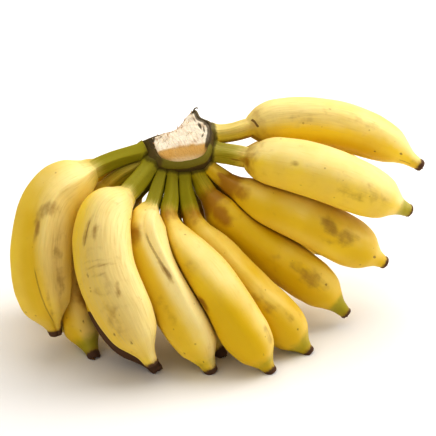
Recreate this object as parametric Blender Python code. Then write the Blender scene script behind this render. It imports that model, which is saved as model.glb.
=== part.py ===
"""A hand of short, plump bananas, standing on its tips.

Seventeen fingers grow from one cut crown: ten in the outer row, which fans out, and
seven in the inner row, tucked underneath. Nothing is joined by a hinge or a pin.

The fingers are laid out in the hand's own frame, in millimetres from the middle of
the crown: across to the right, up along the leaning fan, and out of the fan's face.
"""

import math

import bmesh
import bpy
import numpy as np
from mathutils import Vector

MM = 0.001
WELD = 0.02
SHARP_ANGLE = math.radians(50)

# The fan leans back by this angle, and the crown is this high above the surface.
LEAN = math.radians(25.0)
CROWN_HEIGHT = 107.5

# Each finger's middle line, from its root in the crown to the end of its tip, as
# (across, up, out), then its belly's radius, its neck's length, how slowly its
# shoulder swells (1 is abrupt) and the turn of its ridges in degrees.
OUTER_ROW = {
    "finger_01": (
        ((18, 9, -4), (34, 11, -5), (48, 15, -8), (83, 18, -14), (131, 6, -30), (156, -8, -40)),
        15.5, 27, 1.0, 20,
    ),
    "finger_02": (
        ((18, -1, -2), (33, -3, 3), (51, -7, 9), (78, -12, 14), (120, -27, 3), (145, -37, -12)),
        17.0, 27, 1.0, 0,
    ),
    "finger_03": (
        ((15, -8, -1), (28, -18, 2), (39, -26, 4), (68, -38, 3), (104, -56, -10), (131, -70, -24)),
        16.5, 20, 1.1, 10,
    ),
    "finger_04": (
        (
            (9, -10, 0), (19, -25, 3), (29, -35, 3), (52, -56, -2),
            (71, -72, -6), (90, -87, -10), (106, -102, -16),
        ),
        15.5, 26, 1.2, 0,
    ),
    "finger_05": (
        (
            (3, -11, 1), (6, -31, 8), (12, -45, 14), (27, -66, 20),
            (46, -87, 20), (65, -106, 17), (81, -124, 13),
        ),
        15.5, 32, 1.3, 30,
    ),
    "finger_06": (
        (
            (-3, -11, 1), (-3, -29, 10), (-3, -42, 20), (4, -59, 30),
            (18, -76, 38), (37, -105, 41), (57, -134, 34),
        ),
        15.5, 36, 1.5, 0,
    ),
    "finger_07": (
        ((-9, -12, 1), (-14, -31, 12), (-20, -47, 24), (-9, -82, 36), (8, -113, 38), (21, -134, 34)),
        15.5, 36, 1.0, -20,
    ),
    "finger_08": (
        ((-15, -9, 1), (-28, -26, 16), (-41, -43, 36), (-42, -71, 50), (-29, -104, 54), (-14, -128, 47)),
        18.0, 32, 1.0, 0,
    ),
    "finger_09": (
        ((-19, -7, -3), (-37, -17, 2), (-53, -35, 2), (-66, -69, 0), (-60, -104, 10), (-50, -127, 19)),
        15.5, 30, 1.0, 0,
    ),
    "finger_10": (
        (
            (-21, -1, -1), (-41, -7, 6), (-57, -16, 14), (-73, -29, 22),
            (-81, -59, 30), (-80, -89, 26), (-74, -112, 14),
        ),
        18.0, 36, 1.0, -40,
    ),
}
INNER_ROW = {
    "finger_11": (
        ((-8, -10, -6), (-30, -31, -2), (-41, -53, 4), (-44, -83, 14), (-31, -110, 28), (-11, -133, 35)),
        15.0, 28, 1.0, 0,
    ),
    "finger_12": (
        ((-3, -10, -8), (-4, -31, -4), (-2, -48, 0), (8, -85, 6), (17, -111, 14), (28, -126, 17)),
        14.0, 34, 1.2, 0,
    ),
    "finger_13": (
        ((4, -9, -10), (11, -32, -18), (19, -47, -24), (38, -73, -33), (46, -90, -37), (50, -102, -34)),
        14.0, 26, 1.0, 0,
    ),
    "finger_14": (
        (
            (-6, -7, -9), (-24, -22, -18), (-36, -36, -26),
            (-44, -60, -38), (-41, -84, -41), (-34, -101, -34),
        ),
        14.0, 28, 1.0, 0,
    ),
    "finger_15": (
        ((8, -7, -9), (22, -20, -16), (36, -32, -24), (61, -46, -36), (82, -58, -44), (94, -63, -48)),
        14.0, 26, 1.0, 0,
    ),
    "finger_16": (
        ((11, -2, -9), (32, -2, -16), (47, -4, -24), (80, -5, -36), (112, -16, -46), (130, -28, -54)),
        14.0, 30, 1.0, 0,
    ),
    "finger_17": (
        (
            (-9, -2, -9), (-38, -7, -16), (-58, -18, -14),
            (-79, -38, -20), (-83, -70, -26), (-75, -99, -26),
        ),
        14.5, 36, 1.0, 0,
    ),
}

# The neck's radius in millimetres at shares of its length, and the body's radius as
# a share of the belly's at shares of the rest, down to the beak and the blunt tip.
NECK_SWELL = ((0.0, 5.6), (0.35, 4.9), (0.75, 4.9), (1.0, 5.4))
BODY_SWELL = (
    (0.00, 0.34), (0.05, 0.53), (0.10, 0.74), (0.17, 0.90), (0.27, 0.97), (0.45, 1.00), (0.63, 0.985),
    (0.76, 0.90), (0.84, 0.73), (0.90, 0.50), (0.945, 0.36), (0.975, 0.32), (1.0, 0.29),
)
# Cross-sections are drawn at these shares, closer together where the shape turns.
NECK_RINGS = (0.0, 0.4, 0.8)
BODY_RINGS = (
    0.0, 0.035, 0.075, 0.12, 0.18, 0.26, 0.36, 0.47, 0.58,
    0.68, 0.76, 0.82, 0.865, 0.905, 0.945, 0.98, 1.0,
)

# A finger's cross-section has five soft ridges, highest halfway along it.
RIDGES = 5
RIDGE_HEIGHT = 0.03
SIDES = 15

# Fingers that grew pressed together are flattened where they meet, this far apart.
# A sharper press leaves a crisper edge round the flat. The wall between two fingers
# is found by halving a step, out to PRESS_REACH radii, and only fingers nearer than
# PRESS_RANGE times their two radii press on each other.
PRESS_GAP = 1.0
PRESS_SHARPNESS = 12
PRESS_STEPS = 10
PRESS_REACH = 2.0
PRESS_RANGE = 1.4
LEAST_REACH = 0.5
# A finger's middle line is sampled at this many places.
LINE_SAMPLES = 161

# The crown's cut face: where its middle is, which way it looks, and its outline
# in its own plane, which has a torn spike at the top right.
FACE_MIDDLE = (0, 5.6, 6.0)
FACE_LOOKS = (-0.12, 0.55, 0.83)
FACE_OUTLINE = (
    (-16.2, 3.5), (-8.2, 6.6), (-1.9, 8.3), (1.5, 11.7), (5.6, 18.0), (9.5, 22.0),
    (12.5, 16.8), (18.1, 12.7), (20.0, 6.0), (19.3, -0.8), (15.6, -11.4), (4.3, -15.2),
    (-3.7, -14.5), (-11.3, -9.5), (-15.0, -0.2),
)
FACE_HALF_WIDTH = 16.0
CROWN_SIDES = 40
# The crown swells below its face and narrows again among the roots. Each level has
# its depth below the face, its share of the outline's size, and how far its left
# end is drawn out.
CROWN_LEVELS = (
    (0.0, 1.0, 0.0), (2.5, 1.12, 3.0), (7.0, 1.16, 7.0), (12.0, 1.12, 6.0),
    (18.0, 1.02, 4.0), (24.0, 0.84, 2.0), (28.5, 0.60, 1.0), (30.5, 0.34, 0.0),
)
# Room is left round the crown by this much, where the necks meet it.
CROWN_GAP = 0.8


def hand_to_world(point):
    """A point of the hand's frame, in millimetres, as metres from the crown's middle."""
    across, up, out = point
    return np.array((
        across,
        up * math.sin(LEAN) - out * math.cos(LEAN),
        up * math.cos(LEAN) + out * math.sin(LEAN),
    )) * MM


def smooth_curve(points, places):
    """A smooth curve through points, read at places from 0, the first, to 1, the last."""
    points = np.asarray(points, dtype=float)
    steps = np.linalg.norm(np.diff(points, axis=0), axis=1)
    knots = np.concatenate(([0.0], np.cumsum(steps)))
    return smooth_steps(knots, points, np.asarray(places) * knots[-1])


def smooth_steps(knots, values, at):
    """Values given at knots, read smoothly at other places."""
    slopes = np.gradient(values, knots, axis=0, edge_order=1)
    span = np.clip(np.searchsorted(knots, at, side="right") - 1, 0, len(knots) - 2)
    shape = (-1,) + (1,) * (values.ndim - 1)
    width = (knots[span + 1] - knots[span]).reshape(shape)
    t = (at - knots[span]).reshape(shape) / width
    return (
        (2 * t**3 - 3 * t**2 + 1) * values[span]
        + (t**3 - 2 * t**2 + t) * width * slopes[span]
        + (3 * t**2 - 2 * t**3) * values[span + 1]
        + (t**3 - t**2) * width * slopes[span + 1]
    )


class Finger:
    """One banana: its middle line and its radius, sampled evenly along its length."""

    def __init__(self, points, belly, neck, slowness, turn):
        dense = smooth_curve(points, np.linspace(0, 1, 4 * LINE_SAMPLES))
        steps = np.linalg.norm(np.diff(dense, axis=0), axis=1)
        travelled = np.concatenate(([0.0], np.cumsum(steps)))
        self.length = travelled[-1]
        self.neck = neck
        self.belly = belly
        self.slowness = slowness
        self.turn = math.radians(turn)
        self.places = np.linspace(0, self.length, LINE_SAMPLES)
        columns = [np.interp(self.places, travelled, column) for column in dense.T]
        self.line = np.stack(columns, axis=1)
        self.along = np.gradient(self.line, axis=0)
        self.radii = np.array([self.radius_at(place) for place in self.places])

    def radius_at(self, place):
        """The radius at a distance from the root."""
        if place < self.neck:
            shares, sizes = np.array(NECK_SWELL).T
            return float(smooth_steps(shares, sizes, np.array([place / self.neck]))[0])
        shares, sizes = np.array(BODY_SWELL).T
        share = ((place - self.neck) / (self.length - self.neck)) ** self.slowness
        return self.belly * float(smooth_steps(shares, sizes, np.array([share]))[0])

    def middle_at(self, place):
        """The middle and the direction at a distance from the root."""
        middle = np.array([np.interp(place, self.places, column) for column in self.line.T])
        along = np.array([np.interp(place, self.places, column) for column in self.along.T])
        return middle, along / np.linalg.norm(along)

    def ring_places(self):
        """Where this finger's cross-sections stand, as distances from the root."""
        body = self.length - self.neck
        along_neck = [self.neck * share for share in NECK_RINGS]
        return along_neck + [self.neck + body * share for share in BODY_RINGS]


def pressed(reach, directions, middle, radius, others):
    """Flattens a ring's reach towards each finger that it would grow into.

    The wall between two fingers lies where the distances to their middle lines are in
    proportion to their radii, so both sides of it agree.
    """
    for other in others:
        near = np.linalg.norm(other.line - middle, axis=1).min()
        if near > PRESS_RANGE * (radius + other.belly):
            continue
        low = np.zeros(len(reach))
        high = np.full(len(reach), PRESS_REACH * radius)
        for _ in range(PRESS_STEPS):
            tried = (low + high) / 2
            places = middle + directions * tried[:, None]
            apart = np.linalg.norm(places[:, None] - other.line[None], axis=2)
            nearest = apart.argmin(axis=1)
            other_radius = other.radii[nearest]
            own_share = tried / radius + PRESS_GAP / 2 * (1 / radius + 1 / other_radius)
            inside = own_share < apart[np.arange(len(reach)), nearest] / other_radius
            low = np.where(inside, tried, low)
            high = np.where(inside, high, tried)
        limit = np.where(high >= PRESS_REACH * radius, np.inf, np.maximum(low, LEAST_REACH))
        reach = (reach**-PRESS_SHARPNESS + limit**-PRESS_SHARPNESS) ** (-1 / PRESS_SHARPNESS)
    return reach


def finger_ring(finger, place, others):
    """One cross-section of a finger, as points of the hand's frame."""
    middle, along = finger.middle_at(place)
    radius = finger.radius_at(place)
    side = np.cross(along, (0.0, 0.0, 1.0))
    side /= np.linalg.norm(side)
    face = np.cross(side, along)
    angles = np.arange(SIDES) * 2 * math.pi / SIDES
    directions = np.outer(np.cos(angles), face) + np.outer(np.sin(angles), side)
    ridge = RIDGE_HEIGHT * math.sin(math.pi * min(place / finger.length, 1.0))
    reach = radius * (1 + ridge * np.cos(RIDGES * (angles + finger.turn)))
    reach = pressed(reach, directions, middle, radius, others)
    return middle + directions * reach[:, None]


def loft(name, rings, material):
    """A closed mesh through rings of points of the hand's frame, capped at both ends."""
    mesh = bmesh.new()
    rows = [[mesh.verts.new(Vector(hand_to_world(point))) for point in ring] for ring in rings]
    count = len(rows[0])
    for lower, upper in zip(rows, rows[1:]):
        for k in range(count):
            following = (k + 1) % count
            mesh.faces.new((lower[k], lower[following], upper[following], upper[k]))
    mesh.faces.new(rows[0])
    mesh.faces.new(rows[-1])
    bmesh.ops.recalc_face_normals(mesh, faces=mesh.faces)
    return mesh_object(name, mesh, material)


def mesh_object(name, mesh, material):
    """An object made from a bmesh, smooth but for its sharp edges."""
    data = bpy.data.meshes.new(name)
    mesh.to_mesh(data)
    mesh.free()
    data.shade_smooth()
    data.set_sharp_from_angle(angle=SHARP_ANGLE)
    data.materials.append(material)
    return bpy.data.objects.new(name, data)


def crown_rings(gap):
    """The crown's levels, grown by gap on all sides."""
    looks = np.array(FACE_LOOKS) / np.linalg.norm(FACE_LOOKS)
    across = np.array((1.0, 0.0, 0.0)) - looks[0] * looks
    across /= np.linalg.norm(across)
    upward = np.cross(looks, across)
    closed = FACE_OUTLINE + FACE_OUTLINE[:1]
    outline = smooth_curve(closed, np.arange(CROWN_SIDES) / CROWN_SIDES)
    centre = outline.mean(axis=0)
    rings = []
    for depth, size, drawn in CROWN_LEVELS:
        level = centre + (outline - centre) * size
        away = level - centre
        level = level + gap * away / np.linalg.norm(away, axis=1)[:, None]
        level[:, 0] -= drawn * np.clip(-away[:, 0] / FACE_HALF_WIDTH, 0, 1) ** 2
        if depth == CROWN_LEVELS[0][0]:
            depth -= gap
        if depth == CROWN_LEVELS[-1][0]:
            depth += gap
        middle = np.array(FACE_MIDDLE) - depth * looks
        rings.append(middle + np.outer(level[:, 0], across) + np.outer(level[:, 1], upward))
    return rings


def finish(name, colour, roughness):
    """A plain material of one colour."""
    material = bpy.data.materials.new(name)
    material.use_nodes = True
    shader = material.node_tree.nodes["Principled BSDF"]
    shader.inputs["Base Color"].default_value = (*colour, 1.0)
    shader.inputs["Roughness"].default_value = roughness
    shader.inputs["Metallic"].default_value = 0.0
    return material


def rest_on_surface(item):
    """Cuts off what would lie below the surface, which leaves a small flat spot."""
    mesh = bmesh.new()
    mesh.from_mesh(item.data)
    everything = mesh.verts[:] + mesh.edges[:] + mesh.faces[:]
    bmesh.ops.bisect_plane(
        mesh, geom=everything, plane_co=(0, 0, -CROWN_HEIGHT * MM), plane_no=(0, 0, -1), clear_outer=True
    )
    open_edges = [edge for edge in mesh.edges if edge.is_boundary]
    if open_edges:
        bmesh.ops.holes_fill(mesh, edges=open_edges)
    bmesh.ops.remove_doubles(mesh, verts=mesh.verts, dist=WELD * MM)
    mesh.to_mesh(item.data)
    mesh.free()


def cut_by(item, cutter):
    """Takes the cutter's shape out of an object."""
    cut = item.modifiers.new("crown", "BOOLEAN")
    cut.operation = "DIFFERENCE"
    cut.object = cutter


def build():
    """Makes the crown and the fingers, and stands them on the ground at the origin."""
    for item in list(bpy.data.objects):
        bpy.data.objects.remove(item)
    hand = bpy.data.collections.new("banana_hand")
    cutters = bpy.data.collections.new("cutters")
    bpy.context.scene.collection.children.link(hand)
    bpy.context.scene.collection.children.link(cutters)

    peel = finish("banana_peel", (0.80, 0.55, 0.08), 0.5)
    cut_stem = finish("cut_crown", (0.55, 0.38, 0.20), 0.85)

    crown = loft("crown", crown_rings(0.0), cut_stem)
    crown_room = loft("crown_room", crown_rings(CROWN_GAP), cut_stem)
    crown_room.hide_render = True
    crown_room.display_type = "WIRE"
    cutters.objects.link(crown_room)

    fingers = {name: Finger(*sizes) for name, sizes in {**OUTER_ROW, **INNER_ROW}.items()}
    pieces = [crown]
    for name, finger in fingers.items():
        others = [other for other in fingers.values() if other is not finger]
        rings = [finger_ring(finger, place, others) for place in finger.ring_places()]
        piece = loft(name, rings, peel)
        rest_on_surface(piece)
        cut_by(piece, crown_room)
        pieces.append(piece)

    corners = np.array([vertex.co for piece in pieces for vertex in piece.data.vertices])
    low, high = corners.min(axis=0), corners.max(axis=0)
    stand = bpy.data.objects.new("crown_middle", None)
    stand.location = (-(low[0] + high[0]) / 2, -(low[1] + high[1]) / 2, CROWN_HEIGHT * MM)
    hand.objects.link(stand)
    crown_room.parent = stand
    for piece in pieces:
        hand.objects.link(piece)
        piece.parent = stand


build()
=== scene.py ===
"""The looks of a hand of short, plump bananas: waxy peel, cut crown, floor and light.

Tables hold millimetres and degrees, and meshes hold metres. A banana is laid out in the
hand's own frame, from the middle of the crown: across to the right, up along the
leaning fan, and out of the fan's face.
"""

import math
import random
from collections import namedtuple
from contextlib import contextmanager

import bmesh
import bpy
import numpy as np
from bpy.props import FloatProperty, FloatVectorProperty, IntProperty, PointerProperty
from mathutils import Matrix, Vector
from mathutils.bvhtree import BVHTree


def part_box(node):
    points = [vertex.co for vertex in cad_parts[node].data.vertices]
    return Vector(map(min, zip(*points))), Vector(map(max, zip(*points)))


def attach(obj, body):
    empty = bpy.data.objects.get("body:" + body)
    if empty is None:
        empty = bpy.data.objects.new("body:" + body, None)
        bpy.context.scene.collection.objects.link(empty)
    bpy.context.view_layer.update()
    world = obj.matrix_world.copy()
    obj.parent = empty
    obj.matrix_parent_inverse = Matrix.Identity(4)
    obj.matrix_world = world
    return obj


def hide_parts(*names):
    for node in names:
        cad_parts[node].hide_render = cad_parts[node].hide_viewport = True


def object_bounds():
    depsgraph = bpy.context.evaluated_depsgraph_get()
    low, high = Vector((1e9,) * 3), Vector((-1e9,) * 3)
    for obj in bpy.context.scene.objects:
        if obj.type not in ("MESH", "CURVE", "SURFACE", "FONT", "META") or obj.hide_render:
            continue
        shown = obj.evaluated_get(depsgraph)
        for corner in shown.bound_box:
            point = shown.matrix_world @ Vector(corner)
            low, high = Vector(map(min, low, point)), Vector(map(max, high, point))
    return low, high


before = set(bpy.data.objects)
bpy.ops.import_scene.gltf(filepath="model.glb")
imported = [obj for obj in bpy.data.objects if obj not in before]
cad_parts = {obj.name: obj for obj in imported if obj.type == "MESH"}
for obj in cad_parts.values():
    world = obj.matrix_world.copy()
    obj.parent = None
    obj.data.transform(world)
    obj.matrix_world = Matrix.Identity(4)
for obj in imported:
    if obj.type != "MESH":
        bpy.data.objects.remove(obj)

bl_info = {
    "name": "Banana hand",
    "version": (1, 0, 0),
    "blender": (4, 5, 0),
    "location": "View3D > Sidebar > Banana hand",
    "description": "Makes a hand of short, plump bananas with a cut crown, and its studio",
    "category": "Add Mesh",
}

CAD_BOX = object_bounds()
MM = 0.001

# Each banana's middle line, from its root in the crown to the end of its tip, as
# (across, up, out), then its belly's radius, its neck's length and thickness, how
# slowly its shoulder swells (above 1 is slower) and the turn of its ridges in degrees.
Shape = namedtuple("Shape", "line belly neck thickness slowness turn", defaults=(1.0, 1.0, 0))
OUTER_ROW = {
    "finger_01": Shape(
        ((18, 9, -4), (34, 11, -5), (48, 15, -8), (83, 18, -14), (131, 6, -30), (156, -8, -40)),
        15.5, 27, 1.2, 0.8, 20,
    ),
    "finger_02": Shape(
        ((18, -1, -2), (33, -3, 3), (51, -7, 9), (78, -12, 14), (120, -27, 3), (145, -37, -12)),
        17.0, 27, 1.3, 0.85,
    ),
    "finger_03": Shape(
        ((15, -8, -1), (28, -18, 2), (39, -26, 4), (68, -38, 3), (104, -56, -10), (131, -70, -24)),
        16.5, 20, 1.1, 1.1, 10,
    ),
    "finger_04": Shape(
        (
            (9, -10, 0), (17.5, -26, 3), (26.5, -37, 3), (50, -57.5, -2),
            (71, -72, -6), (90, -87, -10), (106, -102, -16),
        ),
        15.5, 21, 1.25, 0.95,
    ),
    "finger_05": Shape(
        (
            (3, -11, 1), (5.5, -31, 8), (10.5, -46, 14), (25, -68, 20),
            (44, -89, 20), (64, -107, 17), (81, -124, 13),
        ),
        15.5, 30, 1.15, 1.35, 30,
    ),
    "finger_06": Shape(
        (
            (-3, -11, 1), (-4.5, -29, 10), (-5.5, -42, 20), (2, -60, 30),
            (17.5, -77, 38), (37, -105, 41), (57, -134, 34),
        ),
        15.4, 33, 1.15, 1.3,
    ),
    "finger_07": Shape(
        (
            (-9, -12, 1), (-14, -31, 12), (-19, -47, 25),
            (-7, -82, 38), (10, -112, 40), (21, -134, 34),
        ),
        17.2, 30, 1.15, 1.0, 22,
    ),
    "finger_08": Shape(
        (
            (-15, -9, 1), (-29, -26, 16), (-42.5, -43, 36),
            (-41.5, -71, 50), (-27, -103, 54), (-14, -128, 47),
        ),
        17.8, 31, 1.25, 1.0,
    ),
    "finger_09": Shape(
        (
            (-19, -7, -3), (-37, -17, 2), (-53, -35, 2),
            (-66, -69, 0), (-60, -104, 10), (-50, -127, 19),
        ),
        15.5, 30,
    ),
    "finger_10": Shape(
        (
            (-21, -1, -1), (-41, -7, 6), (-57, -16, 14), (-73, -29, 22),
            (-81, -59, 30), (-80, -89, 26), (-74, -112, 14),
        ),
        18.0, 36, 1.1, 1.0, 6,
    ),
}
INNER_ROW = {
    "finger_11": Shape(
        (
            (-8, -10, -6), (-30, -31, -2), (-41, -53, 4),
            (-44, -83, 14), (-31, -110, 28), (-11, -133, 35),
        ),
        15.0, 28,
    ),
    "finger_12": Shape(
        ((-3, -10, -8), (-4, -31, -4), (-2, -48, 0), (8, -85, 6), (17, -111, 14), (28, -126, 17)),
        14.0, 34, 1.0, 1.2,
    ),
    "finger_13": Shape(
        (
            (4, -9, -10), (11, -32, -18), (19, -47, -24),
            (38, -73, -33), (46, -90, -37), (50, -102, -34),
        ),
        14.0, 26,
    ),
    "finger_14": Shape(
        (
            (-6, -7, -9), (-24, -22, -18), (-36, -36, -26),
            (-44, -60, -38), (-41, -84, -41), (-34, -101, -34),
        ),
        14.0, 28,
    ),
    "finger_15": Shape(
        (
            (8, -7, -9), (22, -20, -16), (36, -32, -24),
            (61, -46, -36), (82, -58, -44), (94, -63, -48),
        ),
        14.0, 26,
    ),
    "finger_16": Shape(
        (
            (11, -2, -9), (32, -2, -16), (47, -4, -24),
            (80, -5, -36), (112, -16, -46), (130, -28, -54),
        ),
        14.0, 30,
    ),
    "finger_17": Shape(
        (
            (-9, -2, -9), (-38, -7, -16), (-58, -18, -14),
            (-79, -38, -20), (-83, -70, -26), (-75, -99, -26),
        ),
        14.5, 36,
    ),
}
# A neck's radius in millimetres, and a body's in bellies, at shares of their length.
NECK_SWELL = ((0.0, 5.6), (0.35, 4.9), (0.75, 4.9), (1.0, 5.4))
BODY_SWELL = (
    (0.00, 0.34), (0.05, 0.53), (0.10, 0.74), (0.17, 0.90), (0.27, 0.97), (0.45, 1.00),
    (0.63, 0.985), (0.76, 0.90), (0.84, 0.73), (0.89, 0.50), (0.93, 0.34), (0.965, 0.27),
    (1.0, 0.245),
)
# How far the narrow tip hangs, as a share of the belly's radius, so that it rests.
TIP_SAG = 0.05
# It hangs from the first of these shares of the length on, and fully from the second.
SAG_SHARES = (0.86, 0.96)

# How each banana has ripened: how pale it is, how deep its gold, how green its neck
# and its tip are, how dark the bend under its neck is painted, partly as rust and partly
# as painted shade under the shoulder, how high and how crisp its ridges stand, and how
# much of its tip has dried to a dark stub, in millimetres.
Ripeness = namedtuple("Ripeness", "pale gold green tip_green rust ridge crisp stub")
RIPENESS = {
    "finger_01": Ripeness(0.28, 0.24, 0.30, 0.10, 0.35, 0.030, 0.2, 3.8),
    "finger_02": Ripeness(0.40, 0.20, 0.56, 0.70, 0.45, 0.025, 0.1, 2.0),
    "finger_03": Ripeness(0.12, 0.60, 0.15, 0.15, 0.90, 0.030, 0.3, 2.6),
    "finger_04": Ripeness(0.08, 0.72, 0.55, 0.90, 0.95, 0.030, 0.2, 2.2),
    "finger_05": Ripeness(0.12, 0.60, 0.90, 0.60, 0.60, 0.035, 0.4, 3.2),
    "finger_06": Ripeness(0.20, 0.45, 0.95, 0.45, 0.55, 0.035, 0.3, 3.4),
    "finger_07": Ripeness(0.40, 0.28, 0.95, 0.35, 0.30, 0.110, 0.9, 3.8),
    "finger_08": Ripeness(0.45, 0.18, 0.90, 0.15, 0.25, 0.025, 0.1, 2.4),
    "finger_09": Ripeness(0.25, 0.50, 0.45, 0.80, 0.30, 0.030, 0.2, 4.5),
    "finger_10": Ripeness(0.45, 0.38, 0.85, 0.15, 0.20, 0.110, 0.9, 5.0),
}
HIDDEN_RIPENESS = Ripeness(0.25, 0.55, 0.90, 0.35, 0.50, 0.035, 0.3, 5.5)

# The marks on each banana's skin, by kind: how far along it they lie, how far round it
# from the side that faces out, their length and width, their tilt, and how strong
# they are. A smudge is a rubbed, brown patch, a scuff has dulled the wax to beige, a
# bruise is rusty, and near the necks it is partly painted shade under the shoulder, a
# spot is small and dark, a crack is a thin dark line, and along the folds of finger_07
# and finger_10 it is painted shade in the groove, a deep patch is painted shade, more
# golden, and a pale one a painted highlight, paler than the rest, a patch of the dried
# kind takes a stub's dark brown, and a fold is a raised ridge with a groove beside it.
MARK_FIELDS = (
    "smudge", "scuff", "bruise", "spot", "deep", "pale", "dried", "fold",
    "crack_side", "crack_here",
)
Mark = namedtuple("Mark", "kind along round length width tilt strength")
MARKS = {
    "finger_01": {
        "crack": [(29.5, -14, 15, 1.5, 79, 1.0), (136, 40, 12, 0.8, 0, 0.9)],
        "deep": [(92, 52, 100, 13, 0, 0.9)],
        "smudge": [(57, -4, 26, 7, 0, 0.45), (98, -22, 24, 8, 10, 0.35)],
        "bruise": [(20, 70, 26, 16, 0, 0.8)],
        "spot": [
            (110, 37, 2.2, 2.0, 0, 1.0), (129, 12, 3.4, 3.0, 0, 1.0), (74, -33, 2.0, 2.0, 0, 0.8),
        ],
        "scuff": [(62, -22, 76, 22, 0, 0.6)],
    },
    "finger_02": {
        "smudge": [
            (58, -4, 5, 4, 0, 0.7), (92, 14, 32, 16, 0, 0.45), (104, 2, 16, 8, 20, 0.5),
            (21, 30, 8, 5, 0, 0.9),
        ],
        "spot": [
            (63, 41, 2.6, 2.0, 0, 0.7), (47, -65, 2.2, 2.2, 0, 0.8), (101, 10, 2.0, 1.8, 0, 0.8),
        ],
        "deep": [(90, 48, 90, 14, 0, 0.15)],
        "bruise": [(28, 20, 10, 16, 0, 0.7)],
    },
    "finger_03": {
        "bruise": [(18, -8, 12, 14, 0, 1.0), (30, 4, 14, 16, 0, 0.7)],
        "smudge": [
            (84, -10, 16, 10, 20, 1.0), (96, -4, 18, 12, -10, 0.75), (102, -16, 12, 6, 0, 0.6),
            (88, 20, 12, 5, 0, 0.5),
        ],
        "spot": [(123, 4, 4.5, 3.5, 0, 1.0), (118, -16, 2.4, 2.0, 0, 0.7)],
        "pale": [(80, 50, 90, 16, 0, 0.5)],
    },
    "finger_04": {
        "smudge": [(91, -4, 16, 9, 0, 0.7), (103, -6, 22, 13, 0, 0.8), (76, 10, 26, 8, 0, 0.3)],
        "bruise": [(34, 10, 16, 14, 0, 0.8)],
        "spot": [(111, -16, 2.4, 2.2, 0, 0.9)],
    },
    "finger_05": {
        "deep": [(112, 26, 60, 20, 0, 0.8)],
        "smudge": [(97, -4, 30, 6, 0, 0.7), (104, -14, 16, 4, 0, 0.7), (117, -29, 14, 6, 0, 0.5)],
        "bruise": [(36, 0, 14, 14, 0, 0.5)],
        "spot": [(127, -20, 2.4, 2.2, 0, 0.8)],
    },
    "finger_06": {
        "deep": [(122, 16, 60, 26, 0, 0.8)],
        "smudge": [
            (69, 41, 7, 5, 0, 1.0), (97, 46, 9, 4, 0, 0.8), (130, -53, 14, 7, 0, 0.6),
            (70, 10, 30, 10, 0, 0.25),
        ],
        "bruise": [(97, 46, 12, 6, 0, 0.7), (38, 0, 14, 14, 0, 0.6)],
        "pale": [(92, -34, 90, 15, 0, 0.3)],
        "spot": [(138, -10, 2.6, 2.2, 0, 0.7)],
    },
    "finger_07": {
        # This bruise is partly rust-coloured and partly painted shade in the hollow under the
        # shoulder.
        "bruise": [(54, 23, 12, 12, 0, 0.65)],
        "deep": [(92, 30, 90, 15, 0, 0.7)],
        # The crack and the first smudge run along the fold: painted shade in its groove.
        "crack": [(70, -12, 40, 2.2, -8.5, 0.45)],
        "pale": [(82, -36, 110, 18, -6, 1.0)],
        "fold": [(70, -14, 64, 7, -8, 1.0), (110, -24, 60, 9, -6, 0.6)],
        "smudge": [(80, -15, 16, 2.8, -9, 0.85), (96, 20, 26, 7, 0, 0.35)],
        "spot": [
            (123, 41, 2.6, 2.2, 0, 0.8), (121, -49, 2.4, 2.2, 0, 0.8), (133, 10, 2.8, 2.2, 0, 0.9),
        ],
    },
    "finger_08": {
        "crack": [(73, 27, 17, 1.0, 14, 0.5)],
        "smudge": [
            (72, 28, 18, 4, 14, 0.8), (74, 9, 11, 4, 0, 0.8), (88, 14, 1.6, 18, 6, 0.65),
            (91, 10, 1.6, 22, 6, 0.75), (95, 16, 1.6, 16, 4, 0.6), (100, 16, 56, 20, -6, 0.28),
            (120, 24, 30, 12, 0, 0.5), (105, -13, 12, 3.5, 25, 0.8),
        ],
        # The last spot is a long dark band along the underside.
        "spot": [
            (93, 34, 3.5, 3.0, 0, 0.7), (57, -61, 5, 2.2, 0, 0.8), (125, 42, 2.6, 2.4, 0, 0.9),
            (132, 16, 3.0, 2.6, 0, 0.9), (117, 8, 2.2, 2.0, 0, 0.6), (137, 80, 42, 5, -4, 1.0),
        ],
        "scuff": [(100, 4, 96, 36, 0, 0.9)],
        "deep": [(100, 48, 90, 18, 0, 0.7)],
        "pale": [(92, -30, 110, 20, 0, 0.4)],
    },
    "finger_09": {
        "spot": [(130, 4, 2.8, 2.4, 0, 0.8), (126, -14, 3.2, 2.4, 0, 0.8)],
        "bruise": [(108, -30, 24, 12, 0, 0.6)],
    },
    "finger_10": {
        "smudge": [
            (78, -4, 13, 10, 60, 0.7), (82, 8, 16, 9, 20, 0.75), (90, 8, 14, 4.5, 8, 1.0),
            (100, -40, 22, 9, 0, 0.5), (116, -48, 26, 9, 0, 0.55), (128, -14, 16, 3, 0, 0.6),
        ],
        "deep": [(112, 18, 80, 16, -8, 0.45)],
        "pale": [(50, -14, 50, 40, 0, 0.45), (96, -30, 84, 18, -8, 0.55)],
        "fold": [(113, -4, 96, 10, -10.5, 1.5)],
        # The first crack runs along the fold: painted shade in its groove.
        "crack": [(125, -2, 46, 1.8, -10.5, 0.45), (128, -80, 14, 1.4, 0, 1.0)],
        "scuff": [(88, -24, 76, 22, -8, 0.6)],
        "spot": [(117, -84, 3.6, 2.4, 0, 0.9)],
    },
    "finger_11": {
        # A dark brown strip along the edge that shows below finger_08.
        "dried": [(128, 78, 76, 34, 0, 1.0)],
    },
}
# The peel is painted paler on the sides that face this way: a painted highlight.
PAINTED_HIGHLIGHT_FACING = (0.38, -0.2, 0.9)
# How far from a stub a mark can turn the peel a stub's dark brown, in millimetres.
STUB_BROWN_REACH = 60
# How many marks the sides that turn away get.
UNSEEN_SMUDGES = 3
UNSEEN_SPOTS = 4

# A banana's ridges, and how high they stand on its neck, as a share of the radius.
RIDGES = 5
NECK_RIDGE = 0.06
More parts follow.
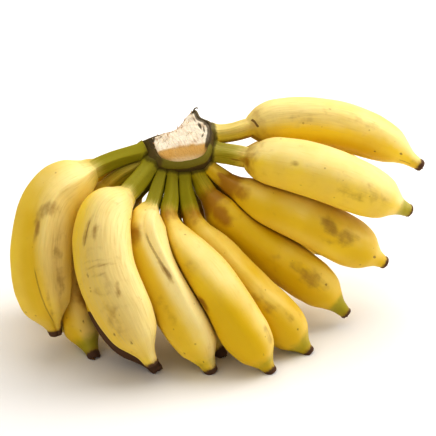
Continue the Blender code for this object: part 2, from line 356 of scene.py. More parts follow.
# The groove round a stub and the rounding of its end, as a share of the radius and how
# far along they reach.
STUB_GROOVE = (0.05, 0.8)
END_ROUNDING = (0.12, 0.9)
# The rings that close a stub's end, as their size and how far they are sunk.
STUB_END = ((0.80, -0.25), (0.55, 0.35), (0.28, 0.8))
PEEL_RELIEF = {"Dent size": 0.016, "Crumple size": 0.0022}

# Where bananas press on each other, their skins stay this far apart and turn this sharply.
PRESS_GAP = 0.3
PRESS_SHARPNESS = 12
# A wall is looked for in this many steps, out to this many radii, against bananas that
# are nearer than this many times both radii, and is never nearer than this.
PRESS_STEPS = 10
PRESS_REACH = 2.0
PRESS_RANGE = 1.4
LEAST_REACH = 0.5
# Walls are looked for on a coarse grid, against points along each middle line.
COARSE_RINGS = 72
COARSE_SIDES = 44
LINE_SAMPLES = 91

# A neck widens where it grows out of the crown: by how much, how far from the crown's
# skin, and over how much of its length that is looked for.
JOINT_FLARE = 1.3
JOINT_REACH = 2.2
JOINT_SEARCH = 34.0

# The crown's cut face: where its middle is, which way it looks, and its outline in
# its own plane, which has a torn spike at the top right.
FACE_MIDDLE = (0, 5.6, 6.0)
FACE_LOOKS = (-0.12, 0.55, 0.83)
FACE_OUTLINE = (
    (-16.2, 3.5), (-8.2, 6.6), (-1.9, 8.3), (1.5, 11.7), (5.6, 18.0), (9.5, 22.0),
    (12.5, 16.8), (18.1, 12.7), (20.0, 6.0), (19.3, -0.8), (15.6, -11.4), (4.3, -15.2),
    (-3.7, -14.5), (-11.3, -9.5), (-15.0, -0.2),
)
FACE_HALF_WIDTH = 16.0
# The crown behind its face, as its depth, its size and how far its left is drawn out.
CROWN_LEVELS = (
    (0.0, 1.0, 0.0), (2.5, 1.12, 3.0), (7.0, 1.16, 7.0), (12.0, 1.12, 6.0),
    (18.0, 1.02, 4.0), (24.0, 0.84, 2.0), (28.5, 0.60, 1.0), (30.5, 0.34, 0.0),
)
CROWN_SIDES = 240
FACE_RINGS = 44
RIND_RINGS = 56
# A plainer crown is enough for finding how far a neck is from it, and for its place.
SHELL_SIDES = 60
SHELL_RINGS = 12
PLACING_SIDES = 40
CROWN_FIELDS = ("cut", "deep", "pit", "rim", "band", "give", "rough", "strands")
CROWN_RELIEF = {
    "Dent depth": 0.0016, "Dent size": 0.0055, "Crumple depth": 0.0006, "Crumple size": 0.0014,
    "Seed": 3,
}
# Along the torn top the flesh wraps over the edge: where the middle of that stretch is,
# how far it goes to each side, and over how many rings.
WRAP_MIDDLE = -2
WRAP_HALF_WIDTH = 9
WRAP_RINGS = 3

# Below this line the face is cut smooth and falls away, and above it it is torn.
CUT_EDGE = ((-16, -7.4), (-9.5, -6.2), (-0.4, -4.7), (6.9, -4.0), (14.1, -3.4), (20.0, -2.8))
CUT_FALL = 2.6
# Dark torn pits and scars on the face, as (across, up, length, width, tilt, strength).
PITS = (
    (13.6, 10.0, 6.5, 1.6, -20, 0.9), (16.2, 6.8, 5.5, 1.3, -10, 0.8),
    (15.4, 2.6, 4.0, 1.5, 15, 0.9), (17.6, 12.4, 4.2, 3.6, 30, 1.0),
    (10.2, 15.0, 5.0, 1.0, -25, 0.6), (-11.0, 3.4, 3.5, 1.5, 50, 0.5),
    (-9.0, -0.5, 5.0, 1.4, 55, 0.4), (-15.3, 1.8, 5.0, 2.0, 10, 1.0),
    (17.2, -2.0, 4.5, 1.2, 5, 0.5), (8.6, 20.4, 3.0, 2.4, 0, 0.6),
    (8.5, 15.0, 9.0, 5.0, 70, 0.3), (-12.0, 1.0, 7.0, 5.0, 40, 0.3),
)
# The flat dried thread that curls off the spike, as (across, up, out) of the face.
CURL_LINE = (
    (9.2, 20.4, -0.4), (9.7, 22.0, 0.3), (10.6, 23.3, 0.6), (12.0, 23.9, 0.3), (12.5, 23.2, -0.2),
)
CURL_RADII = (0.5, 0.5, 0.45, 0.4, 0.15)
CURL_FLATNESS = 0.55
CURL_RINGS = 40
CURL_SIDES = 14

# Threads for a square metre from threads for a square centimetre.
FOR_SQUARE_METRE = 1e4
# The strands' radius in metres, how far they stray from their way, and their seed.
FIBRES = {"Thickness": 0.00013, "Splay": 0.55, "Seed": 5}
THREADS = {"Thickness": 0.00028, "Splay": 0.5, "Seed": 7}
# Torn fibres point across, up and out of the face by this much.
FIBRES_POINT = (0.35, 0.85, 0.45)

PIXELS = 436
# What the middle of the picture shows, right of and above the crown's middle.
VIEW_MIDDLE = (24.8, -42.2)
# Each light's name, place and width in metres, and the setting that holds its power.
SOFTBOXES = (
    ("softbox_above", (0.1, 0.5, 1.3), 1.5, "above"),
    ("softbox_right", (0.9, 0.35, 0.6), 0.9, "right"),
    ("softbox_front", (-0.7, -0.9, 0.3), 1.0, "front"),
)
LIGHTS_AIM = (0.0, 0.0, 0.06)
FLOOR_HALF_WIDTH = 4.0
# The room's own light is a little warm.
ROOM_TINT = (1.0, 0.99, 0.975, 1.0)


def hex_colour(code):
    """An sRGB hex colour as linear red, green and blue."""
    parts = (int(code[at:at + 2], 16) / 255 for at in (1, 3, 5))
    return tuple(
        part / 12.92 if part <= 0.04045 else ((part + 0.055) / 1.055) ** 2.4 for part in parts
    )


def colour(name, description, code):
    """A colour that a user may change."""
    return FloatVectorProperty(
        name=name, description=description, default=hex_colour(code), subtype="COLOR", min=0, max=1
    )


def number(name, description, default, **more):
    """A number that a user may change."""
    return FloatProperty(name=name, description=description, default=default, **more)


def metres(name, description, default):
    """A length in metres that a user may change."""
    return number(name, description, default, unit="LENGTH", precision=5)


class HandSizes(bpy.types.PropertyGroup):
    """Sizes that a user may change."""

    lean: number("Lean", "How far the fan leans back", math.radians(25), subtype="ANGLE")
    sides: IntProperty(
        name="Sides", description="Points round a banana", default=96, min=24, max=160
    )
    rings: IntProperty(
        name="Rings", description="Cross-sections of a banana", default=190, min=40, max=300
    )
    dent: metres("Dents", "Depth of the peel's soft dents", 0.0007)
    crumple: metres("Crumple", "Depth of the wrinkles on a dried stub", 0.0004)
    fibres: number(
        "Fibres", "Torn fibres on a square centimetre of the crown's face", 30.0, min=0, max=200
    )
    fibre_length: metres("Fibre length", "Length of a torn fibre", 0.0020)
    threads: number(
        "Tip threads", "Dried threads on a square centimetre of a stub's end", 25.0, min=0, max=200
    )
    thread_length: metres("Thread length", "Length of a dried thread at a tip", 0.0008)


class HandColours(bpy.types.PropertyGroup):
    """Colours that a user may change."""

    butter: colour("Butter", "The ripe peel's main colour", "#EFCF30")
    # Cream also paints the highlights on the peel.
    cream: colour("Cream", "The palest peel", "#F7E4A2")
    # Gold also paints the shade on the peel.
    gold: colour("Gold", "The deepest yellow of the peel", "#DAB408")
    neck: colour("Neck", "The green that is left in the necks", "#938A10")
    tip: colour("Tip", "The green that is left round a stub", "#A09612")
    # Rust also paints the shade in the bend under each neck.
    rust: colour("Rust", "Bruised peel", "#A8740A")
    smudge: colour("Smudge", "Rubbed peel", "#9A7020")
    scuff: colour("Scuff", "Peel whose wax is rubbed dull", "#D6BC76")
    spot: colour("Spot", "Spots and cracks", "#74501A")
    joint: colour("Joint", "Where a neck leaves the crown", "#544A10")
    stub: colour("Stub", "A dried tip", "#533629")
    flesh: colour("Flesh", "The crown's torn flesh", "#FCEFD6")
    fibre: colour("Fibre", "Brown streaks and fibres in the torn flesh", "#C09468")
    cut: colour("Cut", "The crown's flesh where the knife went through", "#DDA63A")
    pit: colour("Pit", "Dried pits and scars on the crown", "#4A3A18")
    rind: colour("Rind", "The crown's dried rind", "#5E4A12")
    band: colour("Band", "The green band under the cut", "#827818")


class StageSettings(bpy.types.PropertyGroup):
    """The floor, the light and the camera."""

    floor: colour("Floor", "The pale floor", "#F4F1EE")
    above: number("Above", "Power of the softbox above", 12.0, unit="POWER")
    right: number("Right", "Power of the softbox at the right", 8.0, unit="POWER")
    front: number("Front", "Power of the soft light in front", 1.0, unit="POWER")
    room: number("Room", "Strength of the room's own light", 0.7, min=0)
    contrast: number("Contrast", "Gamma of the picture", 0.82, min=0.3, max=2)
    distance: metres("Distance", "Camera to the crown's middle", 1.0)
    millimetres_a_pixel: number("Scale", "Millimetres a pixel shows at the crown", 0.62)


def add(tree, kind, inputs=None, output=None, **settings):
    """Adds a node, sets it up, links the inputs that are sockets, and returns one output."""
    made = tree.nodes.new(kind)
    for name, value in settings.items():
        setattr(made, name, value)
    for key, value in (inputs or {}).items():
        if isinstance(key, int):
            socket = made.inputs[key]
        else:
            socket = next(each for each in made.inputs if each.name == key and each.enabled)
        if isinstance(value, bpy.types.NodeSocket):
            tree.links.new(value, socket)
        elif socket.type == "RGBA" and len(value) == 3:
            socket.default_value = (*value, 1.0)
        else:
            socket.default_value = value
    offered = [each for each in made.outputs if each.enabled]
    return next((each for each in offered if output in (None, each.name)), None)


@contextmanager
def edited(data):
    """A mesh's editable form, which is written back to it at the end."""
    mesh = bmesh.new()
    mesh.from_mesh(data)
    yield mesh
    mesh.to_mesh(data)
    mesh.free()


def smooth_steps(knots, values, at):
    """Values given at knots, read smoothly at other places."""
    slopes = np.gradient(values, knots, axis=0, edge_order=1)
    span = np.clip(np.searchsorted(knots, at, side="right") - 1, 0, len(knots) - 2)
    shape = (-1,) + (1,) * (values.ndim - 1)
    width = (knots[span + 1] - knots[span]).reshape(shape)
    t = (at - knots[span]).reshape(shape) / width
    return (
        (2 * t**3 - 3 * t**2 + 1) * values[span]
        + (t**3 - 2 * t**2 + t) * width * slopes[span]
        + (3 * t**2 - 2 * t**3) * values[span + 1]
        + (t**3 - t**2) * width * slopes[span + 1]
    )


def smooth_curve(points, places):
    """A smooth curve through points, read at places from 0, the first, to 1, the last."""
    points = np.asarray(points, dtype=float)
    knots = lengths_along(points)
    return smooth_steps(knots, points, np.asarray(places) * knots[-1])


def lengths_along(points):
    """How far each point of a line is from its first, along it."""
    steps = np.linalg.norm(np.diff(points, axis=0), axis=1)
    return np.concatenate(([0.0], np.cumsum(steps)))


def read_between(at, knots, rows):
    """Rows given at knots, read at other places on the straight lines between them."""
    return np.stack([np.interp(at, knots, column) for column in rows.T], axis=1)


def ramp(low, high, value):
    """A smooth step from 0 at low to 1 at high."""
    share = np.clip((np.asarray(value, dtype=float) - low) / (high - low), 0, 1)
    return share * share * (3 - 2 * share)


def unit(ways):
    """Directions brought to length one."""
    return ways / np.linalg.norm(ways, axis=-1, keepdims=True)


def round_angles(count):
    """Evenly spaced angles round a full turn."""
    return np.arange(count) * 2 * math.pi / count


def spokes(angles, face, side):
    """Directions at each angle, round each place with its two directions across."""
    cosines, sines = np.cos(angles)[None, :, None], np.sin(angles)[None, :, None]
    return cosines * face[:, None] + sines * side[:, None]


def turned(ways, lean):
    """Directions of the hand's frame as world directions."""
    across, up, out = np.moveaxis(np.asarray(ways, dtype=float), -1, 0)
    return np.stack([
        across,
        up * math.sin(lean) - out * math.cos(lean),
        up * math.cos(lean) + out * math.sin(lean),
    ], axis=-1)


def to_world(points, lean, middle):
    """Points of the hand's frame, in millimetres, as world points in metres."""
    return turned(points, lean) * MM + middle


def patch(across, along, length, width, tilt):
    """How far points lie from a tilted oval's middle, in its own half lengths and widths."""
    cosine, sine = math.cos(math.radians(tilt)), math.sin(math.radians(tilt))
    lengthwise = along * cosine + across * sine
    crosswise = across * cosine - along * sine
    return lengthwise / (length / 2), crosswise / (width / 2)


class Banana:
    """A banana's middle line, its radius and its skin, in the hand's frame."""

    def __init__(self, shape):
        dense = smooth_curve(shape.line, np.linspace(0, 1, 8 * LINE_SAMPLES))
        travelled = lengths_along(dense)
        self.shape = shape
        self.length = travelled[-1]
        self.belly = shape.belly
        self.turn = math.radians(shape.turn)
        self.places = np.linspace(0, self.length, LINE_SAMPLES)
        self.line = read_between(self.places, travelled, dense)
        self.along = np.gradient(self.line, axis=0)
        self.radii = self.radius_at(self.places)

    def radius_at(self, places):
        """The radius at distances from the root."""
        neck = self.shape.neck
        shares, sizes = np.array(NECK_SWELL).T
        thickness = 1 + (self.shape.thickness - 1) * (1 - ramp(0.7, 1.3, places / neck))
        thin = thickness * smooth_steps(shares, sizes, np.clip(places / neck, 0, 1))
        shares, sizes = np.array(BODY_SWELL).T
        share = np.clip((places - neck) / (self.length - neck), 0, 1) ** self.shape.slowness
        thick = thickness * self.belly * smooth_steps(shares, sizes, share)
        return np.where(places < neck, thin, thick)

    def frames_at(self, places):
        """The middle, the direction, and the two directions across it, at each place."""
        middle = read_between(places, self.places, self.line)
        along = unit(read_between(places, self.places, self.along))
        side = unit(np.cross(along, (0.0, 0.0, 1.0)))
        return middle, along, np.cross(side, along), side


def press(banana, places, angles, others):
    """The furthest that the skin may reach before it meets another banana."""
    middle, _, face, side = banana.frames_at(places)
    radius = banana.radius_at(places)
    limits = np.full((len(places), len(angles)), np.inf)
    for row, ways in enumerate(spokes(angles, face, side)):
        furthest = PRESS_REACH * radius[row]
        for other in others:
            apart = np.linalg.norm(other.line - middle[row], axis=1)
            if apart.min() > PRESS_RANGE * (radius[row] + other.belly):
                continue
            close = apart < furthest + PRESS_REACH * other.belly
            line, radii = other.line[close], other.radii[close]
            low = np.zeros(len(angles))
            high = np.full(len(angles), furthest)
            for _ in range(PRESS_STEPS):
                tried = (low + high) / 2
                spots = middle[row] + ways * tried[:, None]
                gaps = np.linalg.norm(spots[:, None] - line[None], axis=2)
                nearest = gaps.argmin(axis=1)
                other_radius = radii[nearest]
                share = tried / radius[row] + PRESS_GAP / 2 * (1 / radius[row] + 1 / other_radius)
                inside = share < gaps[np.arange(len(angles)), nearest] / other_radius
                low = np.where(inside, tried, low)
                high = np.where(inside, high, tried)
            wall = np.where(high >= furthest, np.inf, np.maximum(low, LEAST_REACH))
            limits[row] = np.minimum(limits[row], wall)
    return limits


def pressed_in(banana, places, angles, others):
    """One over the furthest reach at every place and angle, from walls found more coarsely."""
    coarse_places = np.linspace(0, banana.length, COARSE_RINGS)
    coarse_angles = round_angles(COARSE_SIDES)
    limits = press(banana, coarse_places, coarse_angles, others)
    inverse = np.where(np.isinf(limits), 0.0, 1 / np.maximum(limits, LEAST_REACH))
    inverse = np.concatenate((inverse, inverse[:, :1]), axis=1)
    coarse_angles = np.append(coarse_angles, 2 * math.pi)
    rows = read_between(angles, coarse_angles, inverse.T).T
    return read_between(places, coarse_places, rows)


def ridged(angles, turn, height, crispness):
    """How far each angle stands out or in, for five ridges with flatter faces between."""
    wave = np.cos(RIDGES * (angles + turn))
    crisp = 1 - 2 * np.abs(np.sin(RIDGES / 2 * (angles + turn))) ** 0.75
    return 1 + height * ((1 - crispness) * wave + crispness * crisp)


def mark_fields(banana, places, angles, marks):
    """How strongly each kind of mark shows at each point of a banana's skin."""
    shape = (len(places), len(angles))
    fields = {name: np.zeros(shape) for name in MARK_FIELDS}
    for mark in marks:
        round_it = (angles - math.radians(mark.round) + math.pi) % (2 * math.pi) - math.pi
        across = banana.belly * np.broadcast_to(round_it, shape)
        along = np.broadcast_to((places - mark.along)[:, None], shape)
        lengthwise, crosswise = patch(across, along, mark.length, mark.width, mark.tilt)
        if mark.kind == "crack":
            close = (np.abs(crosswise) < 10) & (np.abs(lengthwise) < 1.5)
            fields["crack_side"][close] = crosswise[close]
            here = ramp(1.0, 0.6, np.abs(lengthwise)) * ramp(8, 5, np.abs(crosswise))
            fields["crack_here"] = np.maximum(fields["crack_here"], mark.strength * here)
        elif mark.kind == "fold":
            profile = np.exp(-(crosswise + 1.0) ** 2) - 0.8 * np.exp(-(2 * crosswise - 1.0) ** 2)
            fields["fold"] += mark.strength * ramp(1.2, 0.4, np.abs(lengthwise)) * profile
        else:
            here = mark.strength * ramp(1.5, 0.3, np.hypot(lengthwise, crosswise))
            fields[mark.kind] = np.maximum(fields[mark.kind], here)
    return fields


def all_marks(name, banana, seed):
    """A banana's own marks, and a few for the sides of it that turn away."""
    chance = random.Random(seed).uniform
    marks = [Mark(kind, *rest) for kind, rows in MARKS.get(name, {}).items() for rest in rows]
    for _ in range(UNSEEN_SMUDGES):
        along, size = chance(0.45, 0.85) * banana.length, chance(5, 9)
        place = (along, chance(100, 260))
        marks.append(Mark("smudge", *place, 2.4 * size, size, chance(-20, 20), chance(0.4, 0.8)))
    for _ in range(UNSEEN_SPOTS):
        along, size = chance(0.35, 0.92) * banana.length, chance(1.8, 3.4)
        marks.append(Mark("spot", along, chance(80, 280), size, size, 0, chance(0.6, 1.0)))
    return marks


def skin_mesh(name, rows, fields):
    """A closed mesh through rows of points, with a point at each end, and its fields."""
    count = rows[0].shape[0]
    inner = np.concatenate(rows)
    points = np.concatenate((inner, [rows[0].mean(axis=0)], [rows[-1].mean(axis=0)]))
    last = len(points) - 1
    faces = []
    for row in range(len(rows) - 1):
        for k in range(count):
            following = (k + 1) % count
            here, there = row * count, (row + 1) * count
            faces.append((here + k, there + k, there + following, here + following))
    end = (len(rows) - 1) * count
    for k in range(count):
        following = (k + 1) % count
        faces.append((last - 1, k, following))
        faces.append((last, end + following, end + k))
    data = bpy.data.meshes.new(name)
    data.from_pydata(points.tolist(), [], faces)
    for field, values in fields.items():
        flat = np.asarray(values, dtype=float).reshape(len(inner), -1)
        ends = np.stack([flat[:count].mean(axis=0), flat[-count:].mean(axis=0)])
        flat = np.concatenate((flat, ends))
        alone = flat.shape[1] == 1
        layer = data.attributes.new(field, "FLOAT" if alone else "FLOAT_VECTOR", "POINT")
        layer.data.foreach_set("value" if alone else "vector", flat.ravel())
    data.shade_smooth()
    with edited(data) as mesh:
        bmesh.ops.recalc_face_normals(mesh, faces=mesh.faces)
    return data


def start_tree(name, sizes, numbers, ways):
    """A tree of geometry nodes, its named inputs, and the fields that it reads by name."""
    tree = bpy.data.node_groups.new(name, "GeometryNodeTree")
    inputs = [("Geometry", "Geometry"), *((size, "Float") for size in sizes)]
    for label, kind in (*inputs, ("Seed", "Int"), ("Material", "Material")):
        tree.interface.new_socket(label, in_out="INPUT", socket_type="NodeSocket" + kind)
    tree.interface.new_socket("Geometry", in_out="OUTPUT", socket_type="NodeSocketGeometry")
    fields = {}
    reader = "GeometryNodeInputNamedAttribute"
    for names, kind in ((numbers, "FLOAT"), (ways, "FLOAT_VECTOR")):
        for field in names:
            fields[field] = add(tree, reader, {"Name": field}, "Attribute", data_type=kind)
    return tree, tree.nodes.new("NodeGroupInput").outputs, fields


def end_tree(tree, start, geometry):
    """Makes a tree's instances real, gives them their material and sends them out."""
    whole = add(tree, "GeometryNodeRealizeInstances", {"Geometry": geometry})
    dressed = add(
        tree, "GeometryNodeSetMaterial", {"Geometry": whole, "Material": start["Material"]}
    )
    add(tree, "NodeGroupOutput", {"Geometry": dressed})
    return tree


def run_tree(data, tree, values):
    """The plain mesh that a tree of geometry nodes makes of another mesh."""
    carrier = bpy.data.objects.new(data.name, data)
    bpy.context.scene.collection.objects.link(carrier)
    modifier = carrier.modifiers.new(tree.name, "NODES")
    modifier.node_group = tree
    for item in tree.interface.items_tree:
        if item.in_out == "INPUT" and item.name in values:
            modifier[item.identifier] = values[item.name]
    depsgraph = bpy.context.evaluated_depsgraph_get()
    made = bpy.data.meshes.new_from_object(
        carrier.evaluated_get(depsgraph), preserve_all_data_layers=True, depsgraph=depsgraph
    )
    carrier.modifiers.remove(modifier)
    bpy.data.objects.remove(carrier)
    return made


def relief_tree():
    """Pushes a skin in and out: wide soft dents, and a crumple where it has dried."""
    sizes = ("Dent depth", "Dent size", "Crumple depth", "Crumple size")
    tree, start, fields = start_tree("dents_and_crumple", sizes, ("give", "rough"), ("skin",))
    lift = 0.0
    for kind, mask in (("Dent", "give"), ("Crumple", "rough")):
        scale = add(tree, "ShaderNodeMath", {0: 1.0, 1: start[kind + " size"]}, operation="DIVIDE")
        place = {"Vector": fields["skin"], "W": start["Seed"], "Scale": scale, "Detail": 1.5}
        lumps = add(tree, "ShaderNodeTexNoise", place, "Fac", noise_dimensions="4D")
        centred = add(tree, "ShaderNodeMath", {0: lumps, 1: 0.5}, operation="SUBTRACT")
        depth = add(
            tree, "ShaderNodeMath", {0: fields[mask], 1: start[kind + " depth"]},
            operation="MULTIPLY",
        )
        lift = add(
            tree, "ShaderNodeMath", {0: centred, 1: depth, 2: lift}, operation="MULTIPLY_ADD"
        )
    normal = add(tree, "GeometryNodeInputNormal", output="Normal")
    offset = add(tree, "ShaderNodeVectorMath", {0: normal, "Scale": lift}, operation="SCALE")
    moved = {"Geometry": start["Geometry"], "Offset": offset}
    return end_tree(tree, start, add(tree, "GeometryNodeSetPosition", moved))


def strand_tree():
    """Scatters short, tapered, bent strands over a surface, where its field asks for them."""
    sizes = ("Density", "Length", "Thickness", "Splay")
    tree, start, fields = start_tree("torn_strands", sizes, ("strands",), ("lie",))
    density = add(
        tree, "ShaderNodeMath", {0: fields["strands"], 1: start["Density"]}, operation="MULTIPLY"
    )
    wanted = {"Mesh": start["Geometry"], "Density": density, "Seed": start["Seed"]}
    roots = add(tree, "GeometryNodeDistributePointsOnFaces", wanted, "Points")

    # One strand is a unit long, bends to one side and ends in a point.
    line = add(tree, "GeometryNodeCurvePrimitiveLine", {"Start": (0, 0, -0.1), "End": (0, 0, 1)})
    line = add(tree, "GeometryNodeResampleCurve", {"Curve": line, "Count": 6})
    factor = add(tree, "GeometryNodeSplineParameter", output="Factor")
    bend = add(tree, "ShaderNodeMath", {0: factor, 1: 2.0}, operation="POWER")
    bend = add(tree, "ShaderNodeMath", {0: bend, 1: 3.5}, operation="MULTIPLY")
    aside = add(tree, "ShaderNodeCombineXYZ", {"X": bend})
    line = add(tree, "GeometryNodeSetPosition", {"Geometry": line, "Offset": aside})
    taper = add(tree, "ShaderNodeMath", {0: factor, 1: -0.85, 2: 1.0}, operation="MULTIPLY_ADD")
    section = add(
        tree, "GeometryNodeCurvePrimitiveCircle", {"Resolution": 5, "Radius": 1.0}, "Curve"
    )
    tube = {"Curve": line, "Profile Curve": section, "Scale": taper, "Fill Caps": True}
    strand = add(tree, "GeometryNodeCurveToMesh", tube)

    # Each strand strays from the way that the flesh lies, and is spun and sized by chance.
    stray, spin = (
        add(
            tree, "FunctionNodeRandomValue", {0: low, 1: high, "Seed": start["Seed"]},
            data_type="FLOAT_VECTOR",
        )
        for low, high in (((-1, -1, -1), (1, 1, 1)), ((0, 0, 0), (0, 0, 2 * math.pi)))
    )
    stray = add(
        tree, "ShaderNodeVectorMath", {0: stray, "Scale": start["Splay"]}, operation="SCALE"
    )
    way = add(tree, "ShaderNodeVectorMath", {0: fields["lie"], 1: stray}, operation="ADD")
    aimed = add(tree, "FunctionNodeAlignRotationToVector", {"Vector": way}, axis="Z")
    aimed = add(
        tree, "FunctionNodeRotateRotation", {"Rotation": aimed, "Rotate By": spin},
        rotation_space="LOCAL",
    )
    size = add(
        tree, "FunctionNodeRandomValue", {2: 0.4, 3: 1.25, "Seed": start["Seed"]}, data_type="FLOAT"
    )
    tall = add(tree, "ShaderNodeMath", {0: size, 1: start["Length"]}, operation="MULTIPLY")
    scale = add(
        tree, "ShaderNodeCombineXYZ", {"X": start["Thickness"], "Y": start["Thickness"], "Z": tall}
    )
    placed = {"Points": roots, "Instance": strand, "Rotation": aimed, "Scale": scale}
    return end_tree(tree, start, add(tree, "GeometryNodeInstanceOnPoints", placed))


def finish_piece(name, data, node=None):
    """Makes the object, and has it ride and stand for its node."""
    data.name = name
    piece = bpy.data.objects.new(name, data)
    bpy.context.scene.collection.objects.link(piece)
    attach(piece, "root")
    if node:
        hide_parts(node)
    return piece


def cut_at_floor(data):
    """Takes off what lies below the floor, and closes the flat spot that is left."""
    with edited(data) as mesh:
        whole = mesh.verts[:] + mesh.edges[:] + mesh.faces[:]
        plane = {"plane_co": (0, 0, 0), "plane_no": (0, 0, -1)}
        bmesh.ops.bisect_plane(mesh, geom=whole, clear_outer=True, **plane)
        open_edges = [edge for edge in mesh.edges if edge.is_boundary]
        if open_edges:
            bmesh.ops.holes_fill(mesh, edges=open_edges)


def keep_in_box(data, below=0.0):
    """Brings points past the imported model's box back to it, or to this far below it."""
    points = np.zeros(3 * len(data.vertices))
    data.vertices.foreach_get("co", points)
    low, high = (np.array(corner) for corner in CAD_BOX)
    low[2] -= below
    data.vertices.foreach_set("co", np.clip(points.reshape(-1, 3), low, high).ravel())
    data.update()


def crown_frame():
    """The directions across, up and out of the cut face."""
    looks = unit(np.array(FACE_LOOKS))
    across = unit(np.array((1.0, 0.0, 0.0)) - looks[0] * looks)
    return across, np.cross(looks, across), looks


def on_face(points):
    """Points given as across, up and out of the cut face, in the hand's frame."""
    return np.array(FACE_MIDDLE) + np.asarray(points, dtype=float) @ np.array(crown_frame())


def crown_outline(count):
    """Points round the cut face."""
    closed = FACE_OUTLINE + FACE_OUTLINE[:1]
    return smooth_curve(closed, np.arange(count) / count)


def crown_level(outline, depth, size, drawn):
    """One level of the crown, as across, up and out of the cut face."""
    centre = outline.mean(axis=0)
    away = (outline - centre) * size
    level = centre + away
    level[:, 0] -= drawn * np.clip(-away[:, 0] / FACE_HALF_WIDTH, 0, 1) ** 2
    return np.column_stack((level, np.full(len(level), -depth)))


def crown_levels(outline, count):
    """The crown's levels behind its face, with how deep each lies."""
    depths, shares, drawns = np.array(CROWN_LEVELS).T
    found = np.linspace(0.5, depths[-1], count)
    sizes, drawn = (smooth_steps(depths, values, found) for values in (shares, drawns))
    levels = [crown_level(outline, *level) for level in zip(found, sizes, drawn)]
    return list(zip(found, levels))


def crown_middle(lean):
    """Where the hand's frame starts, in metres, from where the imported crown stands."""
    outline = crown_outline(PLACING_SIDES)
    points = np.concatenate([on_face(crown_level(outline, *level)) for level in CROWN_LEVELS])
    return np.array(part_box("crown")[0]) - to_world(points, lean, np.zeros(3)).min(axis=0)


def crown_shell():
    """The crown's outside in the hand's frame, for finding how far a neck is from it."""
    outline = crown_outline(SHELL_SIDES)
    levels = [crown_level(outline, 0.0, size, 0.0) for size in (0.02, 1.0)]
    levels += [level for _, level in crown_levels(outline, SHELL_RINGS)]
    data = skin_mesh("crown_shell", [on_face(level) for level in levels], {})
    faces = [tuple(face.vertices) for face in data.polygons]
    shell = BVHTree.FromPolygons([vertex.co.copy() for vertex in data.vertices], faces)
    bpy.data.meshes.remove(data)
    return shell


def skin_reach(banana, ripeness, places, angles, others, folds):
    """How far the skin stands from the middle line: ridged, folded, grooved and pressed."""
    neck = banana.shape.neck
    left = banana.length - places
    ridge = ripeness.ridge * np.sin(np.pi * np.clip(places / banana.length, 0, 1)) ** 0.6
    ridge += NECK_RIDGE * (1 - ramp(neck * 0.8, neck * 1.3, places))
    reach = folds + np.array([
        size * ridged(angles, banana.turn, height, ripeness.crisp)
        for size, height in zip(banana.radius_at(places), ridge)
    ])
    depth, width = STUB_GROOVE
    groove = 1 - depth * np.exp(-((left - ripeness.stub) / width) ** 2)
    depth, width = END_ROUNDING
    groove *= 1 - depth * (1 - ramp(0.0, width, left))
    reach *= groove[:, None]
    inverse = pressed_in(banana, places, angles, others)
    return (reach**-PRESS_SHARPNESS + inverse**PRESS_SHARPNESS) ** (-1 / PRESS_SHARPNESS)


def near_crown(shell, centre, ways, places, reach):
    """How near the skin is to the crown, from 0 to 1 where they meet."""
    joint = np.zeros(reach.shape)
    for row in np.flatnonzero(places < JOINT_SEARCH):
        points = centre[row] + ways[row] * reach[row][:, None]
        distances = np.array([shell.find_nearest(Vector(point))[3] for point in points])
        joint[row] = np.exp(-(distances / JOINT_REACH) ** 2)
    return joint


def ripe_fields(fields, banana, ripeness, places, reach, light):
    """Turns the marks into what the peel and its relief read at each point of the skin."""
    neck = banana.shape.neck
    left = banana.length - places
    fields["green"] = ripeness.green * ramp(-0.20, 0.70, (neck * 1.22 - places) / neck)
    fields["tip_green"] = ripeness.tip_green * ramp(18.0, 7.0, left)
    # The bend under each neck is partly rust and partly painted shade under the shoulder.
    bend = ripeness.rust * np.exp(-((places - neck * 1.1) / 8.0) ** 2)
    fields["rust"] = np.maximum(bend[:, None], fields.pop("bruise"))
    fields["stub"] = (ripeness.stub - left)[:, None] + STUB_BROWN_REACH * fields.pop("dried")
    # Painted shade deepens the gold, and painted highlights lighten it.
    fields["gold"] = ripeness.gold + 0.5 * (fields["deep"] - fields["pale"])
    # Sides that face the light are painted paler, as a painted highlight that is weaker under
    # painted shade.
    fields["sun"] = ramp(0.05, 0.9, light) * (1 - 0.6 * fields.pop("deep"))
    # The peel's own paleness, with the pale marks' painted highlights on top.
    fields["pale"] = ripeness.pale + 0.6 * fields["pale"]
    fields["rough"] = ramp(-0.6, 0.6, fields["stub"])
    fields["give"] = ramp(0.25, 1.0, reach / banana.belly)
    fields["strands"] = np.zeros(len(places))
    for field, values in fields.items():
        if values.ndim == 1:
            fields[field] = np.broadcast_to(values[:, None], reach.shape)
    return fields


